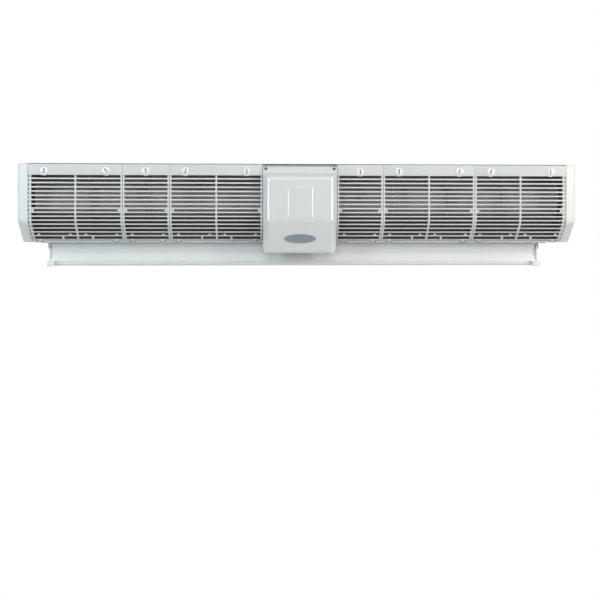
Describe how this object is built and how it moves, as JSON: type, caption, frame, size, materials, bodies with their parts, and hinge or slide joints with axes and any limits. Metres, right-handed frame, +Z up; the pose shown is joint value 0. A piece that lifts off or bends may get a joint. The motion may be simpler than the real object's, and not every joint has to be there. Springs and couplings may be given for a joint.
{
  "type": "air curtain",
  "caption": "Long wall-mounted air curtain: steel casing with a central motor, cross-flow impellers behind tipping grille panels, and a tilting outlet vane.",
  "frame": {"origin": "on the wall face of the mounting plate, at the middle of the casing's length", "axes": "+X along the casing to the right as seen from the room, +Y into the wall, +Z up"},
  "size_m": [1.508, 0.2248, 0.2795],
  "materials": {
    "white_plastic": "off-white moulded ABS, satin gloss",
    "grille_plastic": "off-white moulded plastic, satin",
    "lock_plastic": "near-white moulded plastic",
    "vane_paint": "aluminium, powder coated off-white",
    "painted_steel": "folded steel sheet, powder coated off-white",
    "galvanised_steel": "galvanised sheet with faint spangle",
    "impeller_plastic": "warm grey moulded plastic",
    "motor_paint": "dark grey enamel",
    "cast_alloy": "die-cast alloy",
    "bright_steel": "turned bright steel",
    "dark_screw": "blackened steel",
    "black_rubber": "black rubber",
    "electrical_plastic": "ivory plastic",
    "badge_plastic": "plain blue-grey plastic, blank"
  },
  "bodies": {
    "casing": {"mounting_plate": "galvanised_steel", "chassis": "painted_steel", "lower_rail": "painted_steel", "compartment_floor": "painted_steel", "end_plate_left": "galvanised_steel", "end_plate_right": "galvanised_steel", "end_cap_left": "white_plastic", "end_cap_right": "white_plastic", "bulkhead_left": "galvanised_steel", "bulkhead_right": "galvanised_steel", "rear_guide_left": "galvanised_steel", "rear_guide_right": "galvanised_steel", "cut_off_left": "galvanised_steel", "cut_off_right": "galvanised_steel", "motor_bracket": "galvanised_steel", "motor_body": "motor_paint", "motor_end_bell_left": "cast_alloy", "motor_end_bell_right": "cast_alloy", "motor_ring_left": "black_rubber", "motor_ring_right": "black_rubber", "bearing_left": "bright_steel", "bearing_right": "bright_steel", "bearing_housing_left": "black_rubber", "bearing_housing_right": "black_rubber", "capacitor": "electrical_plastic", "capacitor_clip": "galvanised_steel", "terminal_block": "electrical_plastic", "cable_grommet": "black_rubber", "centre_cover": "white_plastic", "cover_screw_left": "dark_screw", "cover_screw_right": "dark_screw", "blank_badge": "badge_plastic", "vane_bracket_left": "painted_steel", "vane_bracket_right": "painted_steel", "pivot_pin_left": "bright_steel", "pivot_pin_right": "bright_steel"},
    "fan": {"motor_shaft": "bright_steel", "coupling_left": "bright_steel", "coupling_right": "bright_steel", "impeller_left": "impeller_plastic", "impeller_right": "impeller_plastic"},
    "vane": {"vane_blade": "vane_paint", "vane_end_left": "white_plastic", "vane_end_right": "white_plastic"},
    "panel_1": {"grille_panel_1": "grille_plastic"},
    "panel_2": {"grille_panel_2": "grille_plastic"},
    "panel_3": {"grille_panel_3": "grille_plastic"},
    "panel_4": {"grille_panel_4": "grille_plastic"},
    "panel_5": {"grille_panel_5": "grille_plastic"},
    "panel_6": {"grille_panel_6": "grille_plastic"},
    "lock_1": {"panel_lock_1": "lock_plastic"},
    "lock_2": {"panel_lock_2": "lock_plastic"},
    "lock_3": {"panel_lock_3": "lock_plastic"},
    "lock_4": {"panel_lock_4": "lock_plastic"},
    "lock_5": {"panel_lock_5": "lock_plastic"},
    "lock_6": {"panel_lock_6": "lock_plastic"},
    "lock_7": {"panel_lock_7": "lock_plastic"},
    "lock_8": {"panel_lock_8": "lock_plastic"},
    "lock_9": {"panel_lock_9": "lock_plastic"},
    "lock_10": {"panel_lock_10": "lock_plastic"}
  },
  "joints": [
    {"name": "fan_spin", "type": "hinge", "parent": "casing", "child": "fan", "pos_m": [0, -0.112, 0.012], "axis": [1, 0, 0], "continuous": true},
    {"name": "vane_tilt", "type": "hinge", "parent": "casing", "child": "vane", "pos_m": [0, -0.118, -0.12], "axis": [1, 0, 0], "range_deg": [-25, 15]},
    {"name": "panel_tip_1", "type": "hinge", "parent": "casing", "child": "panel_1", "pos_m": [-0.6, -0.15, -0.1045], "axis": [1, 0, 0], "range_deg": [0, 70]},
    {"name": "panel_tip_2", "type": "hinge", "parent": "casing", "child": "panel_2", "pos_m": [-0.4125, -0.15, -0.1045], "axis": [1, 0, 0], "range_deg": [0, 70]},
    {"name": "panel_tip_3", "type": "hinge", "parent": "casing", "child": "panel_3", "pos_m": [-0.225, -0.15, -0.1045], "axis": [1, 0, 0], "range_deg": [0, 70]},
    {"name": "panel_tip_4", "type": "hinge", "parent": "casing", "child": "panel_4", "pos_m": [0.1625, -0.15, -0.1045], "axis": [1, 0, 0], "range_deg": [0, 70]},
    {"name": "panel_tip_5", "type": "hinge", "parent": "casing", "child": "panel_5", "pos_m": [0.35, -0.15, -0.1045], "axis": [1, 0, 0], "range_deg": [0, 70]},
    {"name": "panel_tip_6", "type": "hinge", "parent": "casing", "child": "panel_6", "pos_m": [0.6, -0.15, -0.1045], "axis": [1, 0, 0], "range_deg": [0, 70]},
    {"name": "lock_turn_1", "type": "hinge", "parent": "panel_1", "child": "lock_1", "pos_m": [-0.682, -0.195, 0.085], "axis": [0, -1, 0], "range_deg": [0, 90]},
    {"name": "lock_turn_2", "type": "hinge", "parent": "panel_1", "child": "lock_2", "pos_m": [-0.518, -0.195, 0.085], "axis": [0, -1, 0], "range_deg": [0, 90]},
    {"name": "lock_turn_3", "type": "hinge", "parent": "panel_2", "child": "lock_3", "pos_m": [-0.4125, -0.195, 0.085], "axis": [0, -1, 0], "range_deg": [0, 90]},
    {"name": "lock_turn_4", "type": "hinge", "parent": "panel_3", "child": "lock_4", "pos_m": [-0.307, -0.195, 0.085], "axis": [0, -1, 0], "range_deg": [0, 90]},
    {"name": "lock_turn_5", "type": "hinge", "parent": "panel_3", "child": "lock_5", "pos_m": [-0.143, -0.195, 0.085], "axis": [0, -1, 0], "range_deg": [0, 90]},
    {"name": "lock_turn_6", "type": "hinge", "parent": "panel_4", "child": "lock_6", "pos_m": [0.1625, -0.195, 0.085], "axis": [0, -1, 0], "range_deg": [0, 90]},
    {"name": "lock_turn_7", "type": "hinge", "parent": "panel_5", "child": "lock_7", "pos_m": [0.268, -0.195, 0.085], "axis": [0, -1, 0], "range_deg": [0, 90]},
    {"name": "lock_turn_8", "type": "hinge", "parent": "panel_5", "child": "lock_8", "pos_m": [0.432, -0.195, 0.085], "axis": [0, -1, 0], "range_deg": [0, 90]},
    {"name": "lock_turn_9", "type": "hinge", "parent": "panel_6", "child": "lock_9", "pos_m": [0.518, -0.195, 0.085], "axis": [0, -1, 0], "range_deg": [0, 90]},
    {"name": "lock_turn_10", "type": "hinge", "parent": "panel_6", "child": "lock_10", "pos_m": [0.682, -0.195, 0.085], "axis": [0, -1, 0], "range_deg": [0, 90]}
  ]
}
